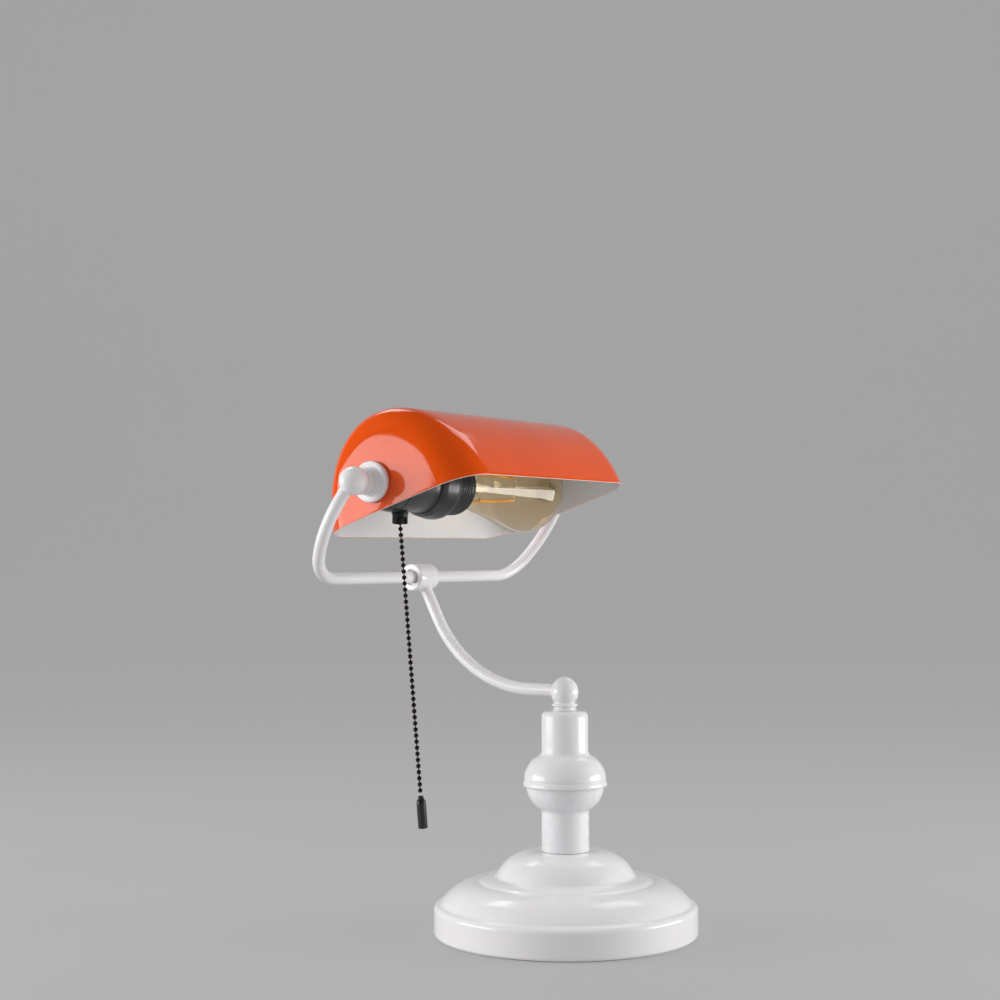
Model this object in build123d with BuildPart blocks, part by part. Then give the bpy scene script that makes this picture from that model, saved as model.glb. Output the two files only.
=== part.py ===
"""Banker desk lamp: dished base, two-part pillar, gooseneck, yoke and tilting metal shade.

Millimetres, +Z up.  The origin is the centre of the underside of the base.  X runs along
the shade, the gooseneck goes back along +Y, and the yoke leans forward over the pillar.
"""
import os
from math import asin, cos, degrees, radians, sin

from build123d import *

os.makedirs("parts", exist_ok=True)

# ---- driving dimensions ----
sheet = 1.2                 # spun and pressed steel
tube_r = 4.25               # gooseneck and yoke tube
tube_bore_r = 3.2
rod_r = 4.85                # M10 lamp thread
rod_bore_r = 3.3
rod_hole_r = 5.1
running = 0.06              # radial clearance of a running fit

# base
base_r = 90
base_top_z = 56.8
base_edge_z = 1
foot_h = 2
inlet_z = 10.7              # cord inlet in the back wall
inlet_bore_r = 3.2
inlet_neck_r = 5
screw_circle_r = 60
screw_r = 2.4

# pillar
pillar_r = 16.2
bowl_r = 26.5
band_r = 28.8
bowl_z = 84.4
seam_z = 101.2
pillar_top_z = 152.4

# ball knuckle, the same turned piece in three places
knuckle_ball_z = 13.7
knuckle_ball_r = 9.7

# gooseneck
finial_z = pillar_top_z + knuckle_ball_z
neck_run = 27.5
neck_bend_r = 88
neck_bend_angle = 63
neck_rise = 33
hub_r = 9.7
hub_half = 12.5
neck_end_y = neck_run + neck_bend_r * sin(radians(neck_bend_angle))
neck_end_z = finial_z + neck_bend_r * (1 - cos(radians(neck_bend_angle)))
hub_y = neck_end_y + neck_rise * cos(radians(neck_bend_angle))
hub_z = neck_end_z + neck_rise * sin(radians(neck_bend_angle))

# yoke: the arms bow outward by a few degrees between the corner and the knuckle
yoke_lean = 32
yoke_height = 75.8
bar_half = 100
yoke_corner_r = 32
yoke_corner_angle = 64
bow_r = 74
corner_x = bar_half + yoke_corner_r * sin(radians(yoke_corner_angle))
corner_s = yoke_corner_r * (1 - cos(radians(yoke_corner_angle)))
bow_x = corner_x - bow_r * sin(radians(yoke_corner_angle))
bow_s = corner_s + bow_r * cos(radians(yoke_corner_angle))
bow_angle = degrees(asin((yoke_height - bow_s) / bow_r))
ball_x = bow_x + bow_r * cos(radians(bow_angle))
pivot_y = hub_y - yoke_height * sin(radians(yoke_lean))
pivot_z = hub_z + yoke_height * cos(radians(yoke_lean))

# shade: its section is part of an upright ellipse, cut off by the opening
shade_wall = 1.0
shade_tilt = 18.2
shade_end_x = 110.2         # outside of the domed end, at the pivot
shade_dome_r = 900
shade_edge_r = 18
section_half_width = 64.7
section_half_height = 80.8
section_drop = 14.6         # from the opening down to the middle of the ellipse
section_back = 2
pivot_up = 19.1             # from the opening up to the pivot
pivot_back = 10.9

# pivots
flange_r = 13.8
flange_gap = 0.3
flange_h = 4
flange_x = shade_end_x + flange_gap
knuckle_x = ball_x - knuckle_ball_z
boss_h = knuckle_x - flange_x - flange_h
washer_x = shade_end_x - shade_wall - flange_gap
washer_h = 1.0
nut_h = 3.2

# lamp holder, bulb and switch
holder_r = 20
holder_end_x = washer_x - washer_h - nut_h
cap_h = 14
body_end_x = -58.6
ring_end_x = -38.8
skirt_end_x = -17
nozzle_x = -80
nozzle_drop = 27.6
shell_r = 14
shell_x = skirt_end_x - 39      # bottom of the screw shell
glass_x = skirt_end_x - 3       # where the bulb's cap meets its glass
bulb_r = 32
bulb_centre_x = 71.5
bead_r = 1.6
bead_pitch = 4.1
bead_count = 45
mouth_depth = 0.8           # the chain's first bead sits this far up in the nozzle
chain_lean_x = 2.3
chain_lean_y = 3.5
knob_r = 3.25
knob_h = 22

# ---- placing planes ----
underside = Plane.XY
pillar_top = Plane.XY.offset(pillar_top_z)
hub_plane = Plane(origin=(0, hub_y, hub_z), x_dir=(0, 1, 0), z_dir=(1, 0, 0))
pivot_plane = Plane(origin=(0, pivot_y, pivot_z), x_dir=(0, 1, 0), z_dir=(1, 0, 0))
neck_plane = Plane(origin=(0, hub_y, hub_z), x_dir=(1, 0, 0),
                   z_dir=(0, cos(radians(neck_bend_angle)), sin(radians(neck_bend_angle))))
yoke_plane = Plane(origin=(0, hub_y, hub_z), x_dir=(1, 0, 0),
                   z_dir=(0, -cos(radians(yoke_lean)), -sin(radians(yoke_lean))))
tilt = radians(shade_tilt)
shade_plane = Plane(origin=(0, pivot_y - pivot_back * cos(tilt) - pivot_up * sin(tilt),
                            pivot_z + pivot_back * sin(tilt) - pivot_up * cos(tilt)),
                    x_dir=(0, cos(tilt), -sin(tilt)), z_dir=(1, 0, 0))
left_plane = Plane(origin=(-knuckle_x, pivot_y, pivot_z), x_dir=(0, 1, 0), z_dir=(-1, 0, 0))
right_plane = Plane(origin=(knuckle_x, pivot_y, pivot_z), x_dir=(0, 1, 0), z_dir=(1, 0, 0))
nozzle_plane = Plane(origin=(nozzle_x, pivot_y, pivot_z), x_dir=(1, 0, 0), z_dir=(0, 0, -1))
chain_z = pivot_z - nozzle_drop + mouth_depth
lean_x = sin(radians(chain_lean_x))
lean_y = sin(radians(chain_lean_y))
chain_plane = Plane(origin=(nozzle_x, pivot_y, chain_z), x_dir=(1, 0, lean_x),
                    z_dir=(lean_x, -lean_y, -1))


def turn(plane, *outline):
    """Turn a closed outline of (radius, height) points about the plane's normal."""
    upright = Plane(origin=plane.origin, x_dir=plane.x_dir, z_dir=-plane.y_dir)
    with BuildSketch(upright) as section:
        with BuildLine():
            Polyline(*outline, close=True)
        make_face()
    revolve(section.sketch, axis=Axis(plane.origin, plane.z_dir))


def tube_along(path, outer, inner):
    """Sweep a round tube along a path."""
    with BuildSketch(Plane(origin=path @ 0, z_dir=path % 0)) as section:
        Circle(outer)
        if inner:
            Circle(inner, mode=Mode.SUBTRACT)
    sweep(section.sketch, path=path)


def ball_knuckle(plane):
    """Base flare, waist, collar and ball, turned in one piece."""
    upright = Plane(origin=plane.origin, x_dir=plane.x_dir, z_dir=-plane.y_dir)
    with BuildSketch(upright) as section:
        with BuildLine():
            foot = Line((0, 0), (8.2, 0))
            lip = Line(foot @ 1, (8.4, 0.6))
            waist = ThreePointArc(lip @ 1, (7.5, 1.9), (8.0, 2.9))
            collar = ThreePointArc(waist @ 1, (8.9, 3.9), (8.1, 4.9))
            groove = Line(collar @ 1, (7.2, 5.4))
            neck = Line(groove @ 1, (6.4, knuckle_ball_z - 7.29))
            ball = ThreePointArc(neck @ 1, (knuckle_ball_r, knuckle_ball_z),
                                 (0, knuckle_ball_z + knuckle_ball_r))
            Line(ball @ 1, foot @ 0)
        make_face()
    revolve(section.sketch, axis=Axis(plane.origin, plane.z_dir))
    with Locations(plane):
        Cylinder(rod_r, 9, align=(Align.CENTER, Align.CENTER, Align.MIN), mode=Mode.SUBTRACT)


# ================= base =================
with BuildPart() as base_shell:
    with BuildSketch(Plane.XZ):
        with BuildLine():
            flat = Line((0, base_top_z), (pillar_r, base_top_z))
            crown = TangentArc(flat @ 1, (39, 51.2), tangent=flat % 1)
            flank = TangentArc(crown @ 1, (45.6, 43.2), tangent=crown % 1)
            foot = TangentArc(flank @ 1, (47.8, 40.6), tangent=flank % 1)
            slope = Line(foot @ 1, (59, 36.9))
            lower = ThreePointArc(slope @ 1, (75.6, 31.7), (84.8, 23.8))
            ledge = Line(lower @ 1, (87.2, 21.6))
            lip = TangentArc(ledge @ 1, (base_r, 17.4), tangent=ledge % 1)
            wall = Line(lip @ 1, (base_r, base_edge_z))
            Polyline(wall @ 1, (0, base_edge_z), flat @ 0)
        make_face()
    revolve(axis=Axis.Z)
    offset(amount=-sheet, openings=base_shell.faces().sort_by(Axis.Z)[0])
    with Locations((0, 0, base_top_z)):
        Hole(rod_hole_r)
    with Locations(Location((0, base_r, inlet_z), (90, 0, 0))):
        Cylinder(inlet_neck_r, 8, mode=Mode.SUBTRACT)

with BuildPart() as base_weight:
    turn(underside, (rod_hole_r, base_top_z - sheet), (13, base_top_z - sheet), (15, 34),
         (38, 24), (70, 17), (76, 14), (76, 6), (13, 6), (13, 24), (rod_hole_r, 24))
    with Locations((0, 72, 14)):
        Box(46, 30, 30, mode=Mode.SUBTRACT)
    with PolarLocations(screw_circle_r, 3, start_angle=30):
        with Locations((0, 0, 10)):
            Cylinder(screw_r, 10, mode=Mode.SUBTRACT)

with BuildPart() as bottom_plate:
    turn(underside, (8, 3), (base_r - sheet - 0.1, 3), (base_r - sheet - 0.1, 4.2),
         (50, 4.2), (50, 6), (40, 6), (40, 4.2), (8, 4.2))
    with PolarLocations(screw_circle_r, 3, start_angle=30):
        Hole(screw_r)

with BuildPart() as base_foot:
    turn(underside, (0, 0), (86, 0), (86, foot_h), (84, 3), (0, 3))

with BuildPart() as plate_screws:
    with PolarLocations(screw_circle_r, 3, start_angle=30):
        with Locations((0, 0, 3)):
            Cylinder(screw_r, 11, align=(Align.CENTER, Align.CENTER, Align.MIN))

with BuildPart() as cord_grommet:
    grommet_plane = Plane(origin=(0, base_r, inlet_z), x_dir=(1, 0, 0), z_dir=(0, 1, 0))
    turn(grommet_plane, (inlet_bore_r, -4), (6.2, -4), (6.2, -1.9), (inlet_neck_r, -1.6),
         (inlet_neck_r, 0.05), (6.2, 0.05), (6.2, 1.0), (5.4, 1.7), (3.9, 1.7),
         (inlet_bore_r, 1.0))

with BuildPart() as terminal_block:
    with Locations((0, 68, 10.5)):
        Box(26, 13, 9)
    fillet(terminal_block.edges().filter_by(Axis.Z), 1.5)
    with Locations((0, 68, 15)):
        with GridLocations(8, 0, 3, 1):
            CounterBoreHole(1.4, 2.4, 1.5, depth=7)

# ================= pillar =================
with BuildPart() as threaded_rod:
    rod_top = pillar_top_z + 8.5
    turn(underside, (rod_bore_r, 9), (rod_r, 9), (rod_r, rod_top), (rod_bore_r, rod_top))

with BuildPart() as rod_washer:
    turn(underside, (rod_hole_r, 22.2), (12, 22.2), (12, 24), (rod_hole_r, 24))

with BuildPart() as rod_nut:
    with BuildSketch(Plane.XY.offset(16.2)):
        RegularPolygon(8.5, 6)
        Circle(rod_r, mode=Mode.SUBTRACT)
    extrude(amount=6)

with BuildPart() as pillar_lower:
    with BuildSketch(Plane.XZ):
        with BuildLine():
            shaft = Polyline((0, base_top_z), (pillar_r, base_top_z), (pillar_r, bowl_z))
            bowl = ThreePointArc(shaft @ 1, (23.2, 91.2), (bowl_r, seam_z - 1))
            Polyline(bowl @ 1, (bowl_r, seam_z), (0, seam_z), shaft @ 0)
        make_face()
    revolve(axis=Axis.Z)
    offset(amount=-sheet, openings=pillar_lower.faces().sort_by(Axis.Z)[-1])
    with Locations((0, 0, base_top_z + sheet)):
        Hole(rod_hole_r)

with BuildPart() as seat_ring:
    turn(underside, (rod_hole_r, seam_z), (band_r - sheet - 0.1, seam_z),
         (band_r - sheet - 0.1, seam_z + 2), (rod_hole_r, seam_z + 2))
    with PolarLocations(16, 3):
        with Locations((0, 0, seam_z)):
            Hole(4)

with BuildPart() as pillar_upper:
    with BuildSketch(Plane.XZ):
        with BuildLine():
            band = Polyline((0, seam_z), (band_r, seam_z), (band_r, seam_z + 4.8))
            dome = ThreePointArc(band @ 1, (25.2, seam_z + 14), (17.6, seam_z + 20.8))
            throat = Line(dome @ 1, (16, seam_z + 23.4))
            tube = Line(throat @ 1, (16, pillar_top_z - 4.4))
            crown = TangentArc(tube @ 1, (11.6, pillar_top_z), tangent=tube % 1)
            Polyline(crown @ 1, (0, pillar_top_z), band @ 0)
        make_face()
    revolve(axis=Axis.Z)
    offset(amount=-sheet, openings=pillar_upper.faces().sort_by(Axis.Z)[0])
    with Locations((0, 0, pillar_top_z)):
        Hole(rod_hole_r)

# ================= gooseneck =================
with BuildPart() as finial:
    ball_knuckle(pillar_top)
    with Locations(Location((0, 0, finial_z), (-90, 0, 0))):
        Cylinder(tube_r, 15, align=(Align.CENTER, Align.CENTER, Align.MIN), mode=Mode.SUBTRACT)

with BuildLine(Plane.YZ) as neck_path:
    Line((3, finial_z), (neck_run, finial_z))
    CenterArc((neck_run, finial_z + neck_bend_r), neck_bend_r, -90, neck_bend_angle)
    Line((neck_end_y, neck_end_z),
         (hub_y - 6.5 * cos(radians(neck_bend_angle)), hub_z - 6.5 * sin(radians(neck_bend_angle))))

with BuildPart() as arm_tube:
    tube_along(neck_path.wire(), tube_r, tube_bore_r)

with BuildPart() as arm_lead:
    tube_along(neck_path.wire(), 1.6, 0)

with BuildPart() as base_lead:
    with Locations((0, 0, 8)):
        Cylinder(1.6, pillar_top_z, align=(Align.CENTER, Align.CENTER, Align.MIN))

with BuildPart() as hub:
    turn(hub_plane, (tube_r + running, -hub_half + 0.8), (5.0, -hub_half), (9.0, -hub_half),
         (hub_r, -hub_half + 1), (hub_r, hub_half - 1), (9.0, hub_half), (5.0, hub_half),
         (tube_r + running, hub_half - 0.8))
    with Locations(neck_plane):
        with Locations((0, 0, -6.5)):
            Cylinder(tube_r, 8, align=(Align.CENTER, Align.CENTER, Align.MAX),
                     mode=Mode.SUBTRACT)
    with Locations(Location((0, hub_y, hub_z), (-90, 0, 0))):
        Cylinder(2, hub_r + 1, align=(Align.CENTER, Align.CENTER, Align.MIN), mode=Mode.SUBTRACT)

with BuildPart() as hub_grub_screw:
    with BuildSketch(Plane(origin=(0, hub_y + hub_r - 0.6, hub_z), z_dir=(0, 1, 0))) as socket:
        Circle(2)
        RegularPolygon(1.1, 6, mode=Mode.SUBTRACT)
    extrude(amount=-2)
    with Locations(Location((0, hub_y + hub_r - 2.6, hub_z), (90, 0, 0))):
        Cylinder(2, 2.7, align=(Align.CENTER, Align.CENTER, Align.MIN))

# ================= yoke =================
with BuildLine(yoke_plane) as yoke_path:
    Line((0, 0), (bar_half, 0))
    CenterArc((bar_half, yoke_corner_r), yoke_corner_r, -90, yoke_corner_angle)
    CenterArc((bow_x, bow_s), bow_r, yoke_corner_angle - 90,
              90 - yoke_corner_angle + bow_angle - 2.5)

with BuildPart() as yoke_tube:
    tube_along(yoke_path.wire(), tube_r, tube_bore_r)
    mirror(about=Plane.YZ)

with BuildPart() as yoke_lead:
    with Locations(Location((0, hub_y, hub_z), (0, -90, 0))):
        Cylinder(1.6, bar_half, align=(Align.CENTER, Align.CENTER, Align.MIN))

with BuildPart() as right_knuckle:
    ball_knuckle(right_plane)
    with BuildSketch(Plane(origin=yoke_path.wire() @ 0, z_dir=(1, 0, 0))) as tube_section:
        Circle(tube_r)
    sweep(tube_section.sketch, path=yoke_path.wire(), mode=Mode.SUBTRACT)

with BuildPart() as left_knuckle:
    mirror(right_knuckle.part, about=Plane.YZ)

with BuildPart() as right_flange:
    turn(right_plane, (rod_r, -boss_h - flange_h), (flange_r - 0.6, -boss_h - flange_h),
         (flange_r, -boss_h - flange_h + 0.6), (flange_r, -boss_h - 1.6),
         (flange_r - 0.5, -boss_h - 0.7), (flange_r - 1.6, -boss_h - 0.1),
         (flange_r - 3, -boss_h), (10, -boss_h), (9.6, -0.4), (9.2, 0), (rod_r, 0))

with BuildPart() as left_flange:
    mirror(right_flange.part, about=Plane.YZ)

with BuildPart() as pivot_nipple:
    turn(left_plane, (rod_bore_r, 8.8), (rod_r, 8.8),
         (rod_r, holder_end_x - knuckle_x - 8), (rod_bore_r, holder_end_x - knuckle_x - 8))

with BuildPart() as pivot_screw:
    turn(right_plane, (0, 8.8), (rod_r, 8.8), (rod_r, washer_x - knuckle_x - 4.4),
         (0, washer_x - knuckle_x - 4.4))

with BuildPart() as friction_washers:
    turn(left_plane, (rod_r, washer_x - knuckle_x), (9.5, washer_x - knuckle_x),
         (9.5, washer_x - washer_h - knuckle_x), (rod_r, washer_x - washer_h - knuckle_x))
    mirror(about=Plane.YZ)

with BuildPart() as pivot_nuts:
    with BuildSketch(Plane(origin=(washer_x - washer_h, pivot_y, pivot_z), x_dir=(0, 1, 0),
                           z_dir=(1, 0, 0))):
        RegularPolygon(8, 6)
        Circle(rod_r, mode=Mode.SUBTRACT)
    extrude(amount=-nut_h)
    mirror(about=Plane.YZ)

# ================= shade =================


def loaf(inset):
    """Half barrel with domed ends and rounded end edges, shrunk by an inset."""
    with BuildPart() as body:
        with BuildSketch(shade_plane):
            with Locations((section_back, -section_drop)):
                Ellipse(section_half_width - inset, section_half_height - inset)
        extrude(amount=shade_end_x + shade_edge_r, both=True)
        for side in (-1, 1):
            with Locations((side * (shade_end_x - shade_dome_r), pivot_y, pivot_z)):
                Sphere(shade_dome_r - inset, mode=Mode.INTERSECT)
        fillet(body.faces().filter_by(GeomType.SPHERE).edges(), shade_edge_r - inset)
        opening = Plane(origin=shade_plane.origin, x_dir=(1, 0, 0), z_dir=shade_plane.y_dir)
        split(bisect_by=opening, keep=Keep.TOP)
    return body.part


with BuildPart() as shade:
    add(loaf(0))
    add(loaf(shade_wall), mode=Mode.SUBTRACT)
    with Locations(pivot_plane):
        Cylinder(rod_r + running, 3 * shade_end_x, mode=Mode.SUBTRACT)

# ================= lamp holder =================
holder_plane = Plane(origin=(0, pivot_y, pivot_z), x_dir=(0, 1, 0), z_dir=(1, 0, 0))
body_start_x = -holder_end_x + cap_h

with BuildPart() as holder_cap:
    turn(holder_plane, (rod_r, -holder_end_x), (9, -holder_end_x), (13, -holder_end_x + 1),
         (17, -holder_end_x + 4), (19, -holder_end_x + 8), (holder_r, body_start_x),
         (holder_r - sheet, body_start_x), (17.6, -holder_end_x + 8),
         (15.8, -holder_end_x + 5), (12, -holder_end_x + 2.5), (rod_r, -holder_end_x + 2))

with BuildPart() as holder_body:
    turn(holder_plane, (holder_r - sheet - 0.4, body_start_x), (holder_r, body_start_x),
         (holder_r, body_end_x), (holder_r - sheet - 0.4, body_end_x))
    with Locations(nozzle_plane):
        Cylinder(4, holder_r + 2, align=(Align.CENTER, Align.CENTER, Align.MIN),
                 mode=Mode.SUBTRACT)

with BuildPart() as switch_nozzle:
    turn(nozzle_plane, (2.6, 17), (4, 17), (4, holder_r), (5.2, holder_r + 0.2),
         (5.2, nozzle_drop - 1), (4.7, nozzle_drop), (3, nozzle_drop), (2.6, nozzle_drop - 1))

with BuildPart() as switch_block:
    with Locations((nozzle_x, pivot_y, pivot_z + 2)):
        Box(16, 22, 14)
    with Locations(nozzle_plane):
        Cylinder(2.2, 12, align=(Align.CENTER, Align.CENTER, Align.MIN), mode=Mode.SUBTRACT)

with BuildPart() as holder_ring:
    turn(holder_plane, (holder_r, body_end_x + 1), (20.4, body_end_x + 1.2),
         (22.3, body_end_x + 5), (23.4, body_end_x + 10), (24, body_end_x + 14.6),
         (24, ring_end_x - 1.6), (23, ring_end_x), (holder_r, ring_end_x))

with BuildPart() as holder_skirt:
    turn(holder_plane, (holder_r - sheet - 0.4, body_end_x), (holder_r, body_end_x),
         (holder_r, skirt_end_x - 1.6), (holder_r + 1, skirt_end_x - 1.2),
         (holder_r + 1, skirt_end_x), (17.6, skirt_end_x), (17.6, body_end_x + 4),
         (holder_r - sheet - 0.4, body_end_x + 4))
    for turn_number in range(5):
        rib_x = ring_end_x + 2.6 + 3 * turn_number
        turn(holder_plane, (holder_r - 0.2, rib_x - 0.9), (holder_r + 0.8, rib_x - 0.3),
             (holder_r + 0.8, rib_x + 0.3), (holder_r - 0.2, rib_x + 0.9))

with BuildPart() as shell_insulator:
    turn(holder_plane, (0, shell_x - 4), (16, shell_x - 4), (16, shell_x + 4),
         (shell_r + 0.7, shell_x + 4), (shell_r + 0.7, shell_x), (0, shell_x))

with BuildPart() as screw_shell:
    turn(holder_plane, (shell_r, shell_x), (shell_r + 0.6, shell_x),
         (shell_r + 0.6, skirt_end_x - 5), (shell_r + 1.1, skirt_end_x - 4.4),
         (shell_r + 0.8, skirt_end_x - 4), (shell_r, skirt_end_x - 4.4))

with BuildPart() as centre_contact:
    with Locations((shell_x + 1.4, pivot_y, pivot_z)):
        Box(2.8, 8, 5)

# ================= bulb =================
with BuildPart() as bulb_cap:
    turn(holder_plane, (0, glass_x - 33), (4, glass_x - 33), (5, glass_x - 31.6),
         (9, glass_x - 29.5), (13, glass_x - 27.5), (13, glass_x), (12.2, glass_x),
         (12.2, glass_x - 26.6), (0, glass_x - 28.6))

with BuildPart() as bulb_glass:
    upright = Plane(origin=holder_plane.origin, x_dir=holder_plane.x_dir,
                    z_dir=-holder_plane.y_dir)
    with BuildSketch(upright) as glass:
        with BuildLine():
            throat = Line((0, glass_x), (12.1, glass_x))
            neck = Line(throat @ 1, (13.6, glass_x + 5))
            flank = Spline(neck @ 1, (22, glass_x + 40), (bulb_r, bulb_centre_x),
                           tangents=(neck % 1, (0, 1)))
            crown = RadiusArc(flank @ 1, (0, bulb_centre_x + bulb_r), -bulb_r)
            Line(crown @ 1, throat @ 0)
        make_face()
    revolve(glass.sketch, axis=Axis(holder_plane.origin, holder_plane.z_dir))
    offset(amount=-0.8, openings=bulb_glass.faces().filter_by(GeomType.PLANE)[0])

with BuildPart() as bulb_stem:
    turn(holder_plane, (0, glass_x), (9, glass_x), (7, glass_x + 9), (4, glass_x + 21),
         (2.2, glass_x + 41), (0, glass_x + 42))

with BuildPart() as bulb_filaments:
    with Locations(holder_plane.offset(glass_x + 64)):
        with PolarLocations(7, 4, start_angle=45):
            with Locations(Location((0, 0, 0), (0, 10, 0))):
                Cylinder(0.9, 40)
    with Locations(holder_plane.offset(glass_x + 42)):
        Cylinder(0.5, 44, align=(Align.CENTER, Align.CENTER, Align.MIN))

# ================= pull switch =================
with BuildPart() as switch_plunger:
    with Locations((nozzle_x, pivot_y, chain_z)):
        Cylinder(1.2, 22, align=(Align.CENTER, Align.CENTER, Align.MIN))
        Sphere(bead_r)

with BuildPart() as chain_link:
    with Locations(chain_plane.offset(bead_pitch)):
        Sphere(bead_r)
        Cylinder(0.55, bead_pitch)

with BuildPart() as pull_chain:
    for bead in range(2, bead_count):
        with Locations(chain_plane.offset(bead * bead_pitch)):
            Sphere(bead_r)
    with Locations(chain_plane.offset(2 * bead_pitch - 1)):
        Cylinder(0.55, (bead_count - 2) * bead_pitch + 1,
                 align=(Align.CENTER, Align.CENTER, Align.MIN))

with BuildPart() as pull_knob:
    turn(chain_plane.offset(bead_count * bead_pitch), (0, 0), (1.2, 0), (1.9, 0.6), (2.3, 2.6),
         (knob_r, 5.5), (knob_r, knob_h - 1), (knob_r - 0.8, knob_h), (0, knob_h))

pieces = {
    "base_shell": base_shell.part,
    "base_weight": base_weight.part,
    "bottom_plate": bottom_plate.part,
    "base_foot": base_foot.part,
    "plate_screws": plate_screws.part,
    "cord_grommet": cord_grommet.part,
    "terminal_block": terminal_block.part,
    "threaded_rod": threaded_rod.part,
    "rod_washer": rod_washer.part,
    "rod_nut": rod_nut.part,
    "pillar_lower": pillar_lower.part,
    "seat_ring": seat_ring.part,
    "pillar_upper": pillar_upper.part,
    "finial": finial.part,
    "arm_tube": arm_tube.part,
    "arm_lead": arm_lead.part,
    "base_lead": base_lead.part,
    "hub": hub.part,
    "hub_grub_screw": hub_grub_screw.part,
    "yoke_tube": yoke_tube.part,
    "yoke_lead": yoke_lead.part,
    "left_knuckle": left_knuckle.part,
    "right_knuckle": right_knuckle.part,
    "left_flange": left_flange.part,
    "right_flange": right_flange.part,
    "pivot_nipple": pivot_nipple.part,
    "pivot_screw": pivot_screw.part,
    "friction_washers": friction_washers.part,
    "pivot_nuts": pivot_nuts.part,
    "shade": shade.part,
    "holder_cap": holder_cap.part,
    "holder_body": holder_body.part,
    "holder_ring": holder_ring.part,
    "holder_skirt": holder_skirt.part,
    "switch_nozzle": switch_nozzle.part,
    "switch_block": switch_block.part,
    "shell_insulator": shell_insulator.part,
    "screw_shell": screw_shell.part,
    "centre_contact": centre_contact.part,
    "bulb_cap": bulb_cap.part,
    "bulb_glass": bulb_glass.part,
    "bulb_stem": bulb_stem.part,
    "bulb_filaments": bulb_filaments.part,
    "switch_plunger": switch_plunger.part,
    "chain_link": chain_link.part,
    "pull_chain": pull_chain.part,
    "pull_knob": pull_knob.part,
}
for name, piece in pieces.items():
    piece.label = name
    export_step(piece, f"parts/{name}.step")
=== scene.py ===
from math import asin, atan2, cos, pi, radians, sin

import bmesh
import bpy
from mathutils import Matrix, Vector


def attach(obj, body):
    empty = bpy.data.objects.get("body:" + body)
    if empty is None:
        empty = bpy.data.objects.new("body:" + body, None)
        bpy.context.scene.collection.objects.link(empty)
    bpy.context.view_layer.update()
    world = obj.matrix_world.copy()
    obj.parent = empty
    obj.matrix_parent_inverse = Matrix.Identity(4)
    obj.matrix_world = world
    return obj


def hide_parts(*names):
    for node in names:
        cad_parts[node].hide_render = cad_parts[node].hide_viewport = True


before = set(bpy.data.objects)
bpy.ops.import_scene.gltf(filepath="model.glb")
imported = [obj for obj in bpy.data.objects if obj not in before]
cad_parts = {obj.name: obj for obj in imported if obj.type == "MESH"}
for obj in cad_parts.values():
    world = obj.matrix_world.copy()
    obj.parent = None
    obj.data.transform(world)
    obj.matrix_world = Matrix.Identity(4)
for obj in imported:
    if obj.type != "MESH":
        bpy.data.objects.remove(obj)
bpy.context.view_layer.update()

# ---- Base shell ----
# The dished foot: sheet steel spun over a form into two domes with a crease between them,
# then a rolled rim and an upright wall. Degreased and sprayed with glossy white enamel.
MM = 0.001
FULL_TURN = 2 * pi
BASE_R = 90.0
BASE_TOP = 56.8
BASE_EDGE = 1.0
SHEET = 1.2
PILLAR_R = 16.2
ROD_HOLE_R = 5.1
ON_AXIS = 0.001
WELD = 0.000002


def bow(start, via, end, steps=16):
    """Points on the arc through three (radius, height) points, without the first."""
    (ax, ay), (bx, by), (cx, cy) = start, via, end
    d = 2 * (ax * (by - cy) + bx * (cy - ay) + cx * (ay - by))
    ux = ((ax**2 + ay**2) * (by - cy) + (bx**2 + by**2) * (cy - ay) + (cx**2 + cy**2) * (ay - by)) / d
    uy = ((ax**2 + ay**2) * (cx - bx) + (bx**2 + by**2) * (ax - cx) + (cx**2 + cy**2) * (bx - ax)) / d
    r = ((ax - ux) ** 2 + (ay - uy) ** 2) ** 0.5
    first = atan2(ay - uy, ax - ux)
    middle = (atan2(by - uy, bx - ux) - first) % FULL_TURN
    last = (atan2(cy - uy, cx - ux) - first) % FULL_TURN
    if middle > last:
        last -= FULL_TURN
    return [
        (ux + r * cos(first + last * i / steps), uy + r * sin(first + last * i / steps))
        for i in range(1, steps + 1)
    ]


def soften(corners, steps=5, closed=True):
    """Round each corner given as (radius, height, rounding); a corner without rounding stays."""
    points = []
    count = len(corners)
    for i, corner in enumerate(corners):
        here = Vector(corner[:2])
        rounding = corner[2] if len(corner) > 2 else 0
        if not rounding or (not closed and i in (0, count - 1)):
            points.append((here.x, here.y))
            continue
        before = (Vector(corners[i - 1][:2]) - here).normalized()
        after = (Vector(corners[(i + 1) % count][:2]) - here).normalized()
        half = before.angle(after) / 2
        reach = rounding / max(0.05, abs(sin(half) / cos(half)))
        a = here + before * reach
        b = here + after * reach
        middle = here + (before + after).normalized() * (rounding / sin(half) - rounding)
        points.append((a.x, a.y))
        points += bow((a.x, a.y), (middle.x, middle.y), (b.x, b.y), steps)
    return points


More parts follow.
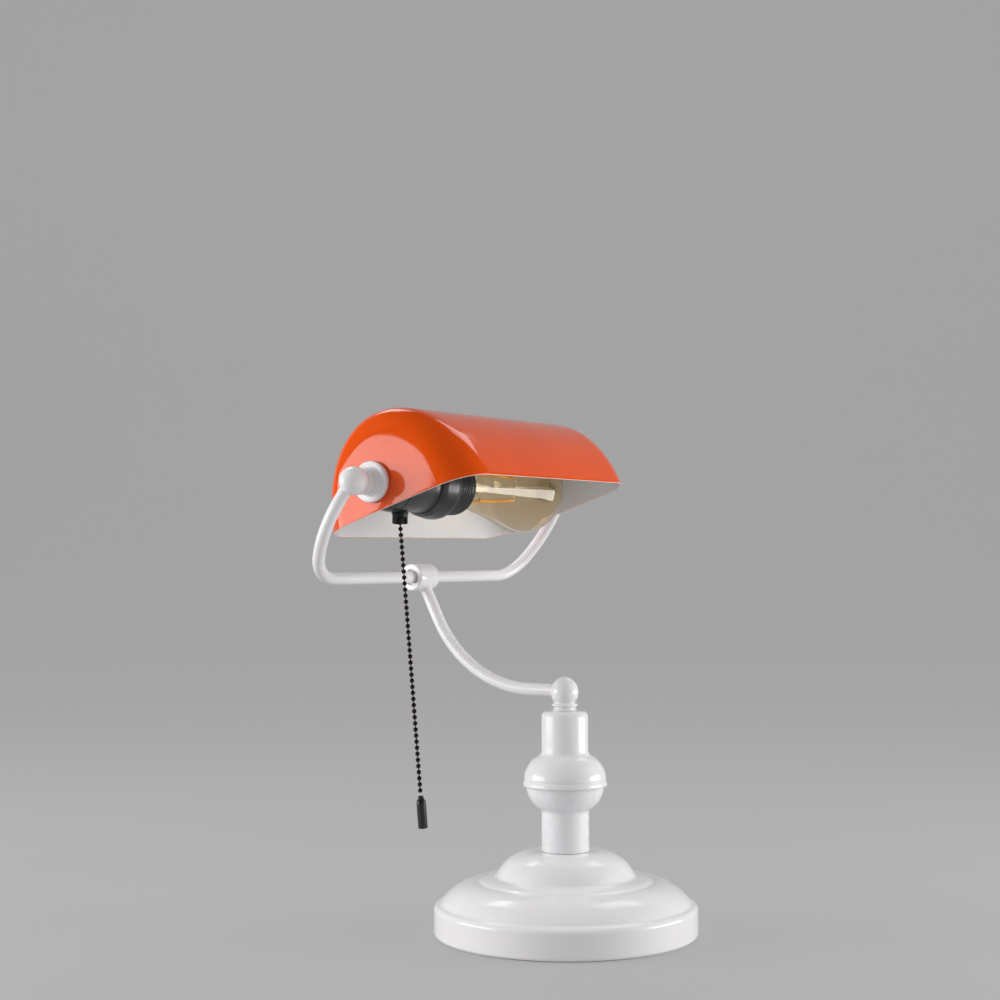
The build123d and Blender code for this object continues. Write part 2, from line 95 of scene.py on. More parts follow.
def spin(outline, origin=(0, 0, 0), axis=(0, 0, 1), steps=128, closed=True):
    """Turn an outline of (radius, height) points in mm about an axis."""
    up = Vector(axis).normalized()
    side = up.orthogonal().normalized()
    other = up.cross(side)
    verts = []
    rings = []
    for radius, height in outline:
        centre = Vector(origin) + up * height
        start = len(verts)
        if radius < ON_AXIS:
            verts.append(centre * MM)
            rings.append([start])
            continue
        for i in range(steps):
            angle = FULL_TURN * i / steps
            verts.append((centre + (side * cos(angle) + other * sin(angle)) * radius) * MM)
        rings.append(range(start, start + steps))
    faces = []
    following = rings[1:] + rings[:1] if closed else rings[1:]
    for low, high in zip(rings, following):
        for i in range(steps):
            j = (i + 1) % steps
            ring = (low[i % len(low)], low[j % len(low)], high[j % len(high)], high[i % len(high)])
            face = list(dict.fromkeys(ring))
            if len(face) > 2:
                faces.append(face)
    return verts, faces


def together(*solids):
    """Several sets of vertices and faces as one."""
    verts = []
    faces = []
    for more, sides in solids:
        start = len(verts)
        verts += more
        faces += [[start + corner for corner in side] for side in sides]
    return verts, faces


def piece(name, solid, finish, body, nodes, crease=38):
    """A smooth mesh piece that stands for its CAD nodes and rides its body."""
    mesh = bpy.data.meshes.new(name)
    mesh.from_pydata([tuple(v) for v in solid[0]], [], solid[1])
    work = bmesh.new()
    work.from_mesh(mesh)
    bmesh.ops.remove_doubles(work, verts=work.verts, dist=WELD)
    bmesh.ops.recalc_face_normals(work, faces=work.faces)
    work.to_mesh(mesh)
    work.free()
    mesh.shade_smooth()
    mesh.set_sharp_from_angle(angle=radians(crease))
    obj = bpy.data.objects.new(name, mesh)
    bpy.context.scene.collection.objects.link(obj)
    mesh.materials.append(finish)
    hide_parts(*nodes)
    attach(obj, body)
    return obj


def nodes_of(name):
    """A new material, its node tree and its Principled shader."""
    material = bpy.data.materials.new(name)
    material.use_nodes = True
    tree = material.node_tree
    shader = tree.nodes["Principled BSDF"]
    return material, tree, shader


def speckle(tree, scale, detail=3.0, roughness=0.5):
    """Noise in the piece's own coordinates, as fine as scale per metre."""
    place = tree.nodes.new("ShaderNodeTexCoord")
    noise = tree.nodes.new("ShaderNodeTexNoise")
    noise.inputs["Scale"].default_value = scale
    noise.inputs["Detail"].default_value = detail
    noise.inputs["Roughness"].default_value = roughness
    tree.links.new(place.outputs["Object"], noise.inputs["Vector"])
    return noise.outputs["Fac"]


def spread(tree, factor, low, high, start=0.35, end=0.65):
    """A noise factor as a number from low to high."""
    span = tree.nodes.new("ShaderNodeMapRange")
    span.inputs["From Min"].default_value = start
    span.inputs["From Max"].default_value = end
    span.inputs["To Min"].default_value = low
    span.inputs["To Max"].default_value = high
    tree.links.new(factor, span.inputs["Value"])
    return span.outputs["Result"]


def tint(tree, factor, first, second, start=0.35, end=0.65):
    """A noise factor as a colour between two colours."""
    ramp = tree.nodes.new("ShaderNodeValToRGB")
    ramp.color_ramp.elements[0].position = start
    ramp.color_ramp.elements[1].position = end
    ramp.color_ramp.elements[0].color = (*first, 1)
    ramp.color_ramp.elements[1].color = (*second, 1)
    tree.links.new(factor, ramp.inputs["Fac"])
    return ramp.outputs["Color"]


def relief(tree, shader, factor, depth, strength=1.0, under=None):
    """Bump of a given depth in metres, on top of an earlier bump."""
    bump = tree.nodes.new("ShaderNodeBump")
    bump.inputs["Distance"].default_value = depth
    bump.inputs["Strength"].default_value = strength
    tree.links.new(factor, bump.inputs["Height"])
    if under:
        tree.links.new(under, bump.inputs["Normal"])
    tree.links.new(bump.outputs["Normal"], shader.inputs["Normal"])
    return bump.outputs["Normal"]


def enamel(name, light, dark, gloss=(0.10, 0.16), coat=0.5, peel=0.000012, ripple=0.00003):
    """Sprayed and baked enamel: thin colour drift, orange peel and a long ripple under gloss."""
    material, tree, shader = nodes_of(name)
    drift = speckle(tree, scale=18, detail=4)
    handling = speckle(tree, scale=140, detail=5)
    tree.links.new(tint(tree, drift, light, dark), shader.inputs["Base Color"])
    tree.links.new(spread(tree, handling, *gloss), shader.inputs["Roughness"])
    wave = relief(tree, shader, speckle(tree, scale=45, detail=2), ripple, strength=0.5)
    relief(tree, shader, speckle(tree, scale=900, detail=2), peel, strength=0.6, under=wave)
    shader.inputs["Coat Weight"].default_value = coat
    shader.inputs["Coat Roughness"].default_value = 0.04
    shader.inputs["IOR"].default_value = 1.5
    return material


WHITE = (0.78, 0.765, 0.78)
WHITE_SHADE = (0.755, 0.74, 0.757)
white_enamel = enamel("white_enamel", WHITE, WHITE_SHADE, gloss=(0.12, 0.18), coat=0.2)

crown = bow((PILLAR_R, BASE_TOP), (29.5, 55.9), (39.0, 51.4), 16)
shell_outside = [(ROD_HOLE_R, BASE_TOP), (PILLAR_R, BASE_TOP)] + crown
shell_outside += bow((39.0, 51.4), (43.9, 46.4), (46.9, 41.6), 10)
shell_outside += bow((46.9, 41.6), (48.0, 40.4), (49.8, 39.8), 6)
shell_outside += [(54, 38.6), (57.4, 37.8)]
shell_outside += bow((57.4, 37.8), (58.3, 37.3), (59.4, 36.7), 4)
shell_outside += bow((59.4, 36.7), (75.6, 31.9), (84.6, 23.8), 20)
shell_outside += bow((84.6, 23.8), (85.7, 22.5), (87.2, 21.8), 6)
shell_outside += bow((87.2, 21.8), (89.3, 20.2), (BASE_R, 17.4), 8)
shell_outside += [(BASE_R, 6.0), (BASE_R, 3.2)]
shell_outside += bow((BASE_R, 3.2), (89.6, 1.7), (88.6, BASE_EDGE), 5)
shell_inside = [(88.0, BASE_EDGE + 0.6), (BASE_R - SHEET, 3.4), (BASE_R - SHEET, 17.0)]
shell_inside += [(86.2, 20.8), (84.2, 22.2), (71.4, 31.2), (54.2, 37.2), (48.6, 38.9)]
shell_inside += [(45.6, 40.9), (39.6, 47.9), (31.1, 54.0), (PILLAR_R, BASE_TOP - SHEET)]
shell_inside += [(ROD_HOLE_R, BASE_TOP - SHEET)]
piece("base_shell", spin(shell_outside + shell_inside, steps=224), white_enamel,
      "base", ["base_shell"])

# ---- Underside and what is inside the base ----
# A cast iron weight, a zinc-plated closing plate with three screws, and a rubber foot disc
# cemented under it. The mains lead would come in through a moulded grommet in the back wall.
INLET_Z = 10.7
FOOT_R = 86.0
FOOT_TOP = 3.0
GROMMET_BORE_R = 3.2
GROMMET_LIP_R = 6.2


def plated(name, bright, dull, metal=1.0, gloss=(0.28, 0.45), grain=400, depth=0.00001):
    """Bare or plated metal with a fine grain."""
    material, tree, shader = nodes_of(name)
    tone = speckle(tree, scale=grain, detail=4)
    wear = speckle(tree, scale=grain * 0.4, detail=3)
    tree.links.new(tint(tree, tone, bright, dull), shader.inputs["Base Color"])
    tree.links.new(spread(tree, wear, *gloss), shader.inputs["Roughness"])
    relief(tree, shader, speckle(tree, scale=grain * 2, detail=2), depth, strength=0.5)
    shader.inputs["Metallic"].default_value = metal
    return material


def moulded(name, light, dark, gloss=(0.3, 0.42), grain=600, depth=0.00001, coat=0.0):
    """Moulded plastic, rubber or ceramic with a fine skin."""
    material, tree, shader = nodes_of(name)
    cloud = speckle(tree, scale=60, detail=4)
    wear = speckle(tree, scale=180, detail=4)
    tree.links.new(tint(tree, cloud, light, dark), shader.inputs["Base Color"])
    tree.links.new(spread(tree, wear, *gloss), shader.inputs["Roughness"])
    relief(tree, shader, speckle(tree, scale=grain, detail=3), depth, strength=0.6)
    shader.inputs["Coat Weight"].default_value = coat
    shader.inputs["Coat Roughness"].default_value = 0.12
    return material


def refinish(material, *names):
    """Give carried-over nodes a finished material."""
    for name in names:
        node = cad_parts[name]
        node.data.materials.clear()
        node.data.materials.append(material)


cast_iron = plated("cast_iron", (0.05, 0.05, 0.052), (0.03, 0.03, 0.031), metal=0.6,
                   gloss=(0.55, 0.8), grain=250, depth=0.00015)
zinc_steel = plated("zinc_steel", (0.62, 0.62, 0.6), (0.48, 0.48, 0.47))
foot_rubber = moulded("foot_rubber", (0.03, 0.03, 0.03), (0.018, 0.018, 0.018),
                      gloss=(0.6, 0.85), grain=900, depth=0.00006)
ceramic = moulded("ceramic", (0.74, 0.71, 0.64), (0.66, 0.63, 0.56))
lead_skin = moulded("lead_skin", (0.75, 0.75, 0.73), (0.68, 0.68, 0.66))
grommet_rubber = moulded("grommet_rubber", (0.7, 0.69, 0.69), (0.62, 0.61, 0.62), gloss=(0.4, 0.55))
refinish(cast_iron, "base_weight")
refinish(zinc_steel, "bottom_plate", "plate_screws", "threaded_rod", "rod_washer", "rod_nut", "seat_ring")
refinish(ceramic, "terminal_block")
refinish(lead_skin, "base_lead", "arm_lead", "yoke_lead")
foot_outline = soften([(0, 0), (FOOT_R, 0, 0.6), (FOOT_R, 2, 0.5), (FOOT_R - 2, FOOT_TOP), (0, FOOT_TOP)])
piece("base_foot", spin(foot_outline, steps=160), foot_rubber, "base", ["base_foot"])
grommet_outline = soften([(GROMMET_BORE_R, -4, 0.3), (GROMMET_LIP_R, -4, 0.4), (GROMMET_LIP_R, -1.9, 0.3),
                          (5, -1.6), (5, 0.05), (GROMMET_LIP_R, 0.05, 0.2), (GROMMET_LIP_R, 1.1, 0.6),
                          (5.2, 1.75, 0.8), (3.9, 1.7, 0.4), (GROMMET_BORE_R, 0.9, 0.3)])
piece("cord_grommet", spin(grommet_outline, (0, BASE_R, INLET_Z), (0, 1, 0), 64), grommet_rubber,
      "base", ["cord_grommet"])

# ---- Pillar ----
# Two spun steel shells that meet in a lens-shaped knuckle: the lower one stands on the base,
# and the upper one sits over it with a rolled band. The threaded rod inside pulls them together.
FLARE_Z = 82.6
BOWL_R = 26.5
BAND_R = 28.8
UPPER_R = 16.0
SEAM_Z = 101.2
PILLAR_TOP = 152.4

worn_white = enamel("worn_white", (0.765, 0.755, 0.77), (0.735, 0.725, 0.742),
                    gloss=(0.2, 0.3), coat=0.1, peel=0.000015, ripple=0.00005)
shaft = [(ROD_HOLE_R, BASE_TOP), (PILLAR_R - 0.6, BASE_TOP), (PILLAR_R, BASE_TOP + 0.5), (PILLAR_R, 70)]
shaft += [(PILLAR_R, FLARE_Z)]
shaft += bow((PILLAR_R, FLARE_Z), (16.5, 84.3), (17.5, 85.6), 5)
shaft += bow((17.5, 85.6), (23.4, 91.2), (BOWL_R - 0.2, SEAM_Z - 2.4), 14)
shaft += [(BOWL_R, SEAM_Z - 1.2), (BOWL_R, SEAM_Z), (BOWL_R - SHEET, SEAM_Z)]
shaft += [(25.0, SEAM_Z - 2.6), (22.2, 91.6), (16.4, 86.4), (15, 83), (15, BASE_TOP + SHEET)]
shaft += [(ROD_HOLE_R, BASE_TOP + SHEET)]
piece("pillar_lower", spin(shaft, steps=144), worn_white, "base", ["pillar_lower"])

cover = bow((BAND_R - 0.8, SEAM_Z), (BAND_R - 0.15, SEAM_Z + 0.35), (BAND_R, SEAM_Z + 1.1), 4)
cover = [(BAND_R - SHEET, SEAM_Z), (BAND_R - 0.8, SEAM_Z)] + cover
cover += bow(cover[-1], (28.65, SEAM_Z + 2.4), (28.1, SEAM_Z + 3.6), 5)
cover += bow(cover[-1], (27.95, SEAM_Z + 4.2), (28.2, SEAM_Z + 4.8), 4)
cover += bow(cover[-1], (25.6, SEAM_Z + 13.6), (18.4, SEAM_Z + 20.4), 20)
cover += bow(cover[-1], (16.7, SEAM_Z + 21.9), (16.05, SEAM_Z + 24.2), 7)
cover += [(UPPER_R, 130), (UPPER_R, PILLAR_TOP - 4.4)]
cover += bow((UPPER_R, PILLAR_TOP - 4.4), (14.8, PILLAR_TOP - 1.3), (11.6, PILLAR_TOP), 10)
cover += [(ROD_HOLE_R, PILLAR_TOP), (ROD_HOLE_R, PILLAR_TOP - SHEET), (11.2, PILLAR_TOP - SHEET)]
cover += [(14.8, PILLAR_TOP - 4.8), (14.8, SEAM_Z + 23.8), (17.2, SEAM_Z + 19.6), (24.5, SEAM_Z + 12.9)]
cover += [(27.2, SEAM_Z + 4.8), (BAND_R - SHEET, SEAM_Z + 1.2)]
piece("pillar_upper", spin(cover, steps=144), white_enamel, "base", ["pillar_upper"])

# ---- Finial and yoke knuckles ----
# The same turned brass knuckle in three places: foot flare, waist, collar and ball, drilled for the
# tube. One is screwed onto the rod on top of the pillar, and one closes each end of the yoke.
BALL_Z = 13.7
BALL_R = 9.7
BALL_SHOULDER_R = BALL_R - 0.15
NECK_BEND = 88.0
NECK_ANGLE = radians(63)
NECK_RUN = 27.5
NECK_RISE = 33.0
FINIAL_BALL_Z = PILLAR_TOP + BALL_Z
neck_end = (NECK_RUN + NECK_BEND * sin(NECK_ANGLE), FINIAL_BALL_Z + NECK_BEND * (1 - cos(NECK_ANGLE)))
HUB = Vector((0, neck_end[0] + NECK_RISE * cos(NECK_ANGLE), neck_end[1] + NECK_RISE * sin(NECK_ANGLE)))
LEAN = radians(32)
YOKE_HEIGHT = 75.8
BAR_HALF = 100.0
CORNER_R = 32.0
CORNER_ANGLE = radians(64)
BOW_R = 74.0
corner_x = BAR_HALF + CORNER_R * sin(CORNER_ANGLE)
corner_s = CORNER_R * (1 - cos(CORNER_ANGLE))
bow_x = corner_x - BOW_R * sin(CORNER_ANGLE)
bow_s = corner_s + BOW_R * cos(CORNER_ANGLE)
BOW_ANGLE = asin((YOKE_HEIGHT - bow_s) / BOW_R)
BALL_X = bow_x + BOW_R * cos(BOW_ANGLE)
PIVOT = Vector((0, HUB.y - YOKE_HEIGHT * sin(LEAN), HUB.z + YOKE_HEIGHT * cos(LEAN)))
KNUCKLE_X = BALL_X - BALL_Z

knuckle = [(0, 0), (8.1, 0)]
knuckle += bow((8.1, 0), (8.45, 0.25), (8.4, 0.8), 4)
knuckle += bow((8.4, 0.8), (7.4, 1.9), (7.75, 2.9), 6)
knuckle += bow((7.75, 2.9), (8.95, 3.9), (8.1, 5.0), 8)
knuckle += bow((8.1, 5.0), (7.35, 5.35), (7.2, 5.9), 4)
knuckle += bow((7.2, 5.9), (BALL_SHOULDER_R, BALL_Z), (0, BALL_Z + BALL_R), 28)
piece("finial", spin(knuckle, (0, 0, PILLAR_TOP), steps=96, closed=False), white_enamel,
      "base", ["finial"])
for side, name in ((-1, "left_knuckle"), (1, "right_knuckle")):
    piece(name, spin(knuckle, (side * KNUCKLE_X, PIVOT.y, PIVOT.z), (side, 0, 0), 96, False),
          white_enamel, "yoke", [name])

# ---- Arm, hub and yoke ----
# Drawn steel tube bent cold: the arm runs back from the finial and curves up to a drilled hub, and
# the yoke's bar turns in that hub. Both arms of the yoke bow outward a little towards the knuckles.
TUBE_R = 4.25
HUB_R = 9.7
HUB_HALF = 12.5
NECK_STEPS = 36
CORNER_STEPS = 20
BOW_STEPS = 32
TUBE_SHORTFALL = radians(4)


def draw_tube(path, radius, steps=40):
    """Round bar along points, with closed ends; radius is a number or one for each point."""
    verts = []
    faces = []
    count = len(path)
    side = None
    for i, point in enumerate(path):
        ahead = (path[min(i + 1, count - 1)] - path[max(i - 1, 0)]).normalized()
        side = ahead.orthogonal() if side is None else side - ahead * side.dot(ahead)
        side = side.normalized()
        other = ahead.cross(side)
        r = radius[i] if isinstance(radius, list) else radius
        for k in range(steps):
            angle = FULL_TURN * k / steps
            verts.append((point + (side * cos(angle) + other * sin(angle)) * r) * MM)
    for i in range(count - 1):
        for k in range(steps):
            a, b = i * steps + k, i * steps + (k + 1) % steps
            faces.append([a, b, b + steps, a + steps])
    faces.append(list(range(steps)))
    faces.append(list(range((count - 1) * steps, count * steps)))
    return verts, faces


neck_line = [Vector((0, y, FINIAL_BALL_Z)) for y in (3, 8, 8.5, 9, 10, 15, 21)]
for i in range(NECK_STEPS + 1):
    a = NECK_ANGLE * i / NECK_STEPS
    neck_line.append(Vector((0, NECK_RUN + NECK_BEND * sin(a), FINIAL_BALL_Z + NECK_BEND * (1 - cos(a)))))
along = Vector((0, cos(NECK_ANGLE), sin(NECK_ANGLE)))
for reach in (6, 12, 18, 21, 22.5, 23.7, 24.8, 26.5):
    neck_line.append(Vector((0, neck_end[0], neck_end[1])) + along * reach)
weld_fillet = [TUBE_R + 0.15, TUBE_R + 0.5, TUBE_R + 1.1, TUBE_R + 1.6]
neck_radius = [TUBE_R] * (len(neck_line) - len(weld_fillet)) + weld_fillet
piece("arm_tube", draw_tube(neck_line, neck_radius), white_enamel, "base", ["arm_tube"])

hub_outline = [(5.6, -HUB_HALF + 2.4), (5.6, -HUB_HALF + 0.4, 0.3), (6.0, -HUB_HALF, 0.3)]
hub_outline += [(HUB_R - 0.1, -HUB_HALF, 0.9), (HUB_R, 0), (HUB_R, HUB_HALF - 3.4, 1.2)]
hub_outline += [(7.4, HUB_HALF - 0.3, 1.2), (5.2, HUB_HALF, 0.4), (TUBE_R + 0.15, HUB_HALF - 0.3)]
hub_outline += [(TUBE_R + 0.15, -HUB_HALF + 2.4)]
piece("hub", spin(soften(hub_outline), HUB, (1, 0, 0), 96), white_enamel, "base", ["hub"])
screw_back = (HUB.x, HUB.y + HUB_R - 0.6, HUB.z)
screw_outline = soften([(0, -1.2), (1.0, -1.2), (1.1, 0.0, 0.1), (1.9, 0.0, 0.3), (1.95, -2.4), (0, -2.4)])
piece("hub_grub_screw", spin(screw_outline, screw_back, (0, 1, 0), 40), zinc_steel,
      "base", ["hub_grub_screw"])


def yoke_point(x, s):
    """A point of the leaning yoke: x across, s up from the bar."""
    return Vector((x, HUB.y - s * sin(LEAN), HUB.z + s * cos(LEAN)))


half_line = [yoke_point(x, 0) for x in (6, 12.2, 13, 14, 30, 60, 85)]
for i in range(CORNER_STEPS + 1):
    a = CORNER_ANGLE * i / CORNER_STEPS
    half_line.append(yoke_point(BAR_HALF + CORNER_R * sin(a), CORNER_R * (1 - cos(a))))
sweep_angle = pi / 2 - CORNER_ANGLE + BOW_ANGLE - TUBE_SHORTFALL
for i in range(1, BOW_STEPS + 1):
    a = CORNER_ANGLE - pi / 2 + sweep_angle * i / BOW_STEPS
    half_line.append(yoke_point(bow_x + BOW_R * cos(a), bow_s + BOW_R * sin(a)))
left_line = [Vector((-p.x, p.y, p.z)) for p in half_line]
yoke_line = left_line[::-1] + half_line
piece("yoke_tube", draw_tube(yoke_line, TUBE_R), white_enamel, "yoke", ["yoke_tube"])

# ---- Pivots of the shade ----
# A stepped flange washer stands between each knuckle and the shade's end. Inside the shade a fibre
# washer and a thin nut pinch the end, so the shade turns stiffly and stays where it is put.
SHADE_END_X = 110.2
FLANGE_R = 13.8
FLANGE_CLEARANCE = 0.3
NIPPLE_HOLE_R = 4.85
flange_depth = KNUCKLE_X - SHADE_END_X - FLANGE_CLEARANCE
flange_outline = soften([(NIPPLE_HOLE_R, -flange_depth), (FLANGE_R, -flange_depth, 0.9),
                         (FLANGE_R, -flange_depth + 3.9, 1.6), (11.6, -flange_depth + 4.1, 0.5),
                         (11.2, -flange_depth + 3.7, 0.4), (9.7, -flange_depth + 3.9, 0.2), (9.5, -1.4, 0.3),
                         (8.7, -0.9, 0.3), (8.7, 0.0, 0.3), (NIPPLE_HOLE_R, 0)])
for side, name in ((-1, "left_flange"), (1, "right_flange")):
    piece(name, spin(flange_outline, (side * KNUCKLE_X, PIVOT.y, PIVOT.z), (side, 0, 0), 112),
          white_enamel, "yoke", [name])
refinish(zinc_steel, "pivot_nipple", "pivot_screw", "pivot_nuts")
refinish(ceramic, "friction_washers")

# ---- Shade ----
# Half barrel of sheet steel with domed ends, deep drawn, with a wider rounding at the rim corners
# than at the ridge. Orange enamel outside, white inside, and a thin pale line where the two meet.
SHADE_TILT = radians(18.22)
SHADE_ORIGIN = Vector((0, 64.33, 292.93))
SHADE_HALF = 109.2
SHADE_DOME = 1.1
SECTION_R = 64.66
SECTION_STRETCH = 80.8 / SECTION_R
SECTION_BACK = 1.96
SECTION_DROP = 14.62
RIDGE_ROUNDING = 17.0
CORNER_POWER = 2.7
RIM_ROUNDING = 25.0
WALL = 1.0
SHADE_WELD = 0.02
FLAT_STEPS = 26
ROUND_STEPS = 16
END_STEPS = 24


def shade_point(x, v, n):
    """From the shade's own axes: x along, v back along the opening, n up from it."""
    return Vector((
        x,
        SHADE_ORIGIN.y + v * cos(SHADE_TILT) + n * sin(SHADE_TILT),
        SHADE_ORIGIN.z - v * sin(SHADE_TILT) + n * cos(SHADE_TILT),
    ))


def shade_column(angle):
    """Half of one rib of the shade, from the middle of the barrel round to the end's centre."""
    rise = sin(angle) ** 2
    r = RIM_ROUNDING + (RIDGE_ROUNDING - RIM_ROUNDING) * rise
    flat = SHADE_HALF - r
    inner = SECTION_R - r
    column = [(flat * i / FLAT_STEPS, SECTION_R) for i in range(FLAT_STEPS)]
    power = 2 + (CORNER_POWER - 2) * rise
    for i in range(ROUND_STEPS):
        a = pi / 2 * i / ROUND_STEPS
        column.append((flat + r * sin(a) ** (2 / power), inner + r * cos(a) ** (2 / power)))
    column.append((flat + r, inner))
    for i in range(1, END_STEPS + 1):
        q = inner * (1 - i / END_STEPS)
        column.append((SHADE_HALF + SHADE_DOME * (1 - (q / inner) ** 2), q))
    return column


ARC_STEPS = 150
DIP = 0.45
RIM_STEPS = 6
RIM_DROP = 0.55
ON_RIM = 0.001
shade_mesh = bmesh.new()
ribs = []
for i in range(ARC_STEPS + 1):
    angle = -DIP + (pi + 2 * DIP) * i / ARC_STEPS
    column = shade_column(angle)
    rib = [(-x, rho) for x, rho in column[:0:-1]] + column
    ribs.append([
        shade_mesh.verts.new((
            x,
            SECTION_BACK + rho * cos(angle),
            rho * sin(angle) * SECTION_STRETCH - SECTION_DROP,
        ))
        for x, rho in rib
    ])
for one, two in zip(ribs, ribs[1:]):
    for k in range(len(one) - 1):
        shade_mesh.faces.new((one[k], one[k + 1], two[k + 1], two[k]))
bmesh.ops.remove_doubles(shade_mesh, verts=shade_mesh.verts, dist=SHADE_WELD)
everything = list(shade_mesh.verts) + list(shade_mesh.edges) + list(shade_mesh.faces)
bmesh.ops.bisect_plane(
    shade_mesh, geom=everything, plane_co=(0, 0, 0), plane_no=(0, 0, 1), clear_inner=True
)
bmesh.ops.remove_doubles(shade_mesh, verts=shade_mesh.verts, dist=SHADE_WELD)
bmesh.ops.recalc_face_normals(shade_mesh, faces=shade_mesh.faces)
shade_mesh.normal_update()
top_face = max(shade_mesh.faces, key=lambda face: face.calc_center_median().z)
if top_face.normal.z < 0:
    bmesh.ops.reverse_faces(shade_mesh, faces=list(shade_mesh.faces))
    shade_mesh.normal_update()
shade_mesh.verts.index_update()
outer_verts = list(shade_mesh.verts)
outer_faces = [list(face.verts) for face in shade_mesh.faces]
rim_edges = [edge for edge in shade_mesh.edges if edge.is_boundary]
inside = {}
for vert in outer_verts:
    inward = vert.normal.copy()
    if abs(vert.co.z) < ON_RIM:
        inward.z = 0
        inward.normalize()
    inside[vert] = shade_mesh.verts.new(vert.co - inward * WALL)
inner_faces = [shade_mesh.faces.new([inside[v] for v in reversed(corners)]) for corners in outer_faces]
rim_rings = {}
for vert in {v for edge in rim_edges for v in edge.verts}:
    centre = (vert.co + inside[vert].co) / 2
    outward = (vert.co - inside[vert].co) / 2
    ring = [vert]
    for i in range(1, RIM_STEPS):
        a = pi * i / RIM_STEPS
        ring.append(shade_mesh.verts.new(centre + outward * cos(a) + Vector((0, 0, -RIM_DROP)) * sin(a)))
    rim_rings[vert] = ring + [inside[vert]]
rim_faces = []
for edge in rim_edges:
    a, b = (rim_rings[v] for v in edge.verts)
    for i in range(RIM_STEPS):
        rim_faces.append((i, shade_mesh.faces.new((a[i], b[i], b[i + 1], a[i + 1]))))
for face in inner_faces:
    face.material_index = 1
for i, face in rim_faces:
    face.material_index = 2 if i > 0 else 0
bmesh.ops.recalc_face_normals(shade_mesh, faces=shade_mesh.faces)
for vert in shade_mesh.verts:
    vert.co = shade_point(*vert.co) * MM
shade_data = bpy.data.meshes.new("shade")
shade_mesh.to_mesh(shade_data)
shade_mesh.free()
shade_data.shade_smooth()
shade_data.set_sharp_from_angle(angle=radians(60))
shade = bpy.data.objects.new("shade", shade_data)
bpy.context.scene.collection.objects.link(shade)
orange_enamel = enamel("orange_enamel", (0.72, 0.078, 0.004), (0.68, 0.070, 0.0035),
                       gloss=(0.05, 0.08), coat=0.0)
shade_white = enamel("shade_white", (0.80, 0.785, 0.785), (0.77, 0.755, 0.755), gloss=(0.3, 0.42), coat=0.1)
rim_line = enamel("rim_line", (0.84, 0.68, 0.62), (0.84, 0.58, 0.50), gloss=(0.2, 0.3), coat=0.3)
for finish in (orange_enamel, shade_white, rim_line):
    shade_data.materials.append(finish)
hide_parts("shade")
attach(shade, "shade")

# ---- Lamp holder ----
# Black moulded holder on the left nipple: a domed cap, a plain body, a flared ring that is screwed
# up the skirt, and the skirt with its outside thread. Brass shell and contact are inside.
WASHER_X = SHADE_END_X - 1.3
HOLDER_END = WASHER_X - 4.2
HOLDER_R = 20.0
BODY_END = -58.6
RING_R = 23.9
RING_END = -38.8
black_plastic = moulded("black_plastic", (0.016, 0.016, 0.018), (0.010, 0.010, 0.011),
                        gloss=(0.26, 0.4), grain=700, depth=0.000012, coat=0.25)
cap_outline = soften([(NIPPLE_HOLE_R, -HOLDER_END), (9, -HOLDER_END, 0.8), (13, -HOLDER_END + 1.1, 2),
                      (17, -HOLDER_END + 4, 3), (19, -HOLDER_END + 8, 4), (19.6, -HOLDER_END + 14, 0.4),
                      (18.2, -HOLDER_END + 14), (17.6, -HOLDER_END + 8), (15.6, -HOLDER_END + 5),
                      (12, -HOLDER_END + 2.5), (NIPPLE_HOLE_R, -HOLDER_END + 2)])
piece("holder_cap", spin(cap_outline, PIVOT, (1, 0, 0), 112), black_plastic,
      "yoke", ["holder_cap"])
body_start = -HOLDER_END + 14.3
body_outline = soften([(18, body_start), (19.8, body_start, 0.5), (19.4, -74, 6), (19.0, -62.5, 1.5),
                       (19.6, -60.4, 0.8), (19.6, -59.2, 0.7), (18.2, BODY_END), (17.6, BODY_END)])
piece("holder_body", spin(body_outline, PIVOT, (1, 0, 0), 112), black_plastic,
      "yoke", ["holder_body"])
ring_outline = soften([(17.2, -57.8), (18.2, -58.3, 0.3), (20.3, -57.4, 1.2), (22.2, -53.4, 5),
                       (RING_R, -44, 3), (RING_R, -40.6, 1.4), (RING_R - 1, RING_END, 0.6),
                       (21.4, RING_END, 0.3), (21.2, -40), (17.2, -40)])
piece("holder_ring", spin(ring_outline, PIVOT, (1, 0, 0), 128), black_plastic,
      "yoke", ["holder_ring"])

THREAD_START = -37.4
THREAD_END = -21.2
THREAD_PITCH = 2.6
THREAD_DEPTH = 0.75
THREAD_RUNOUT = 1.5
ROW_GAP = 0.3
SKIRT_END = -17.0
SKIRT_STEPS = 112


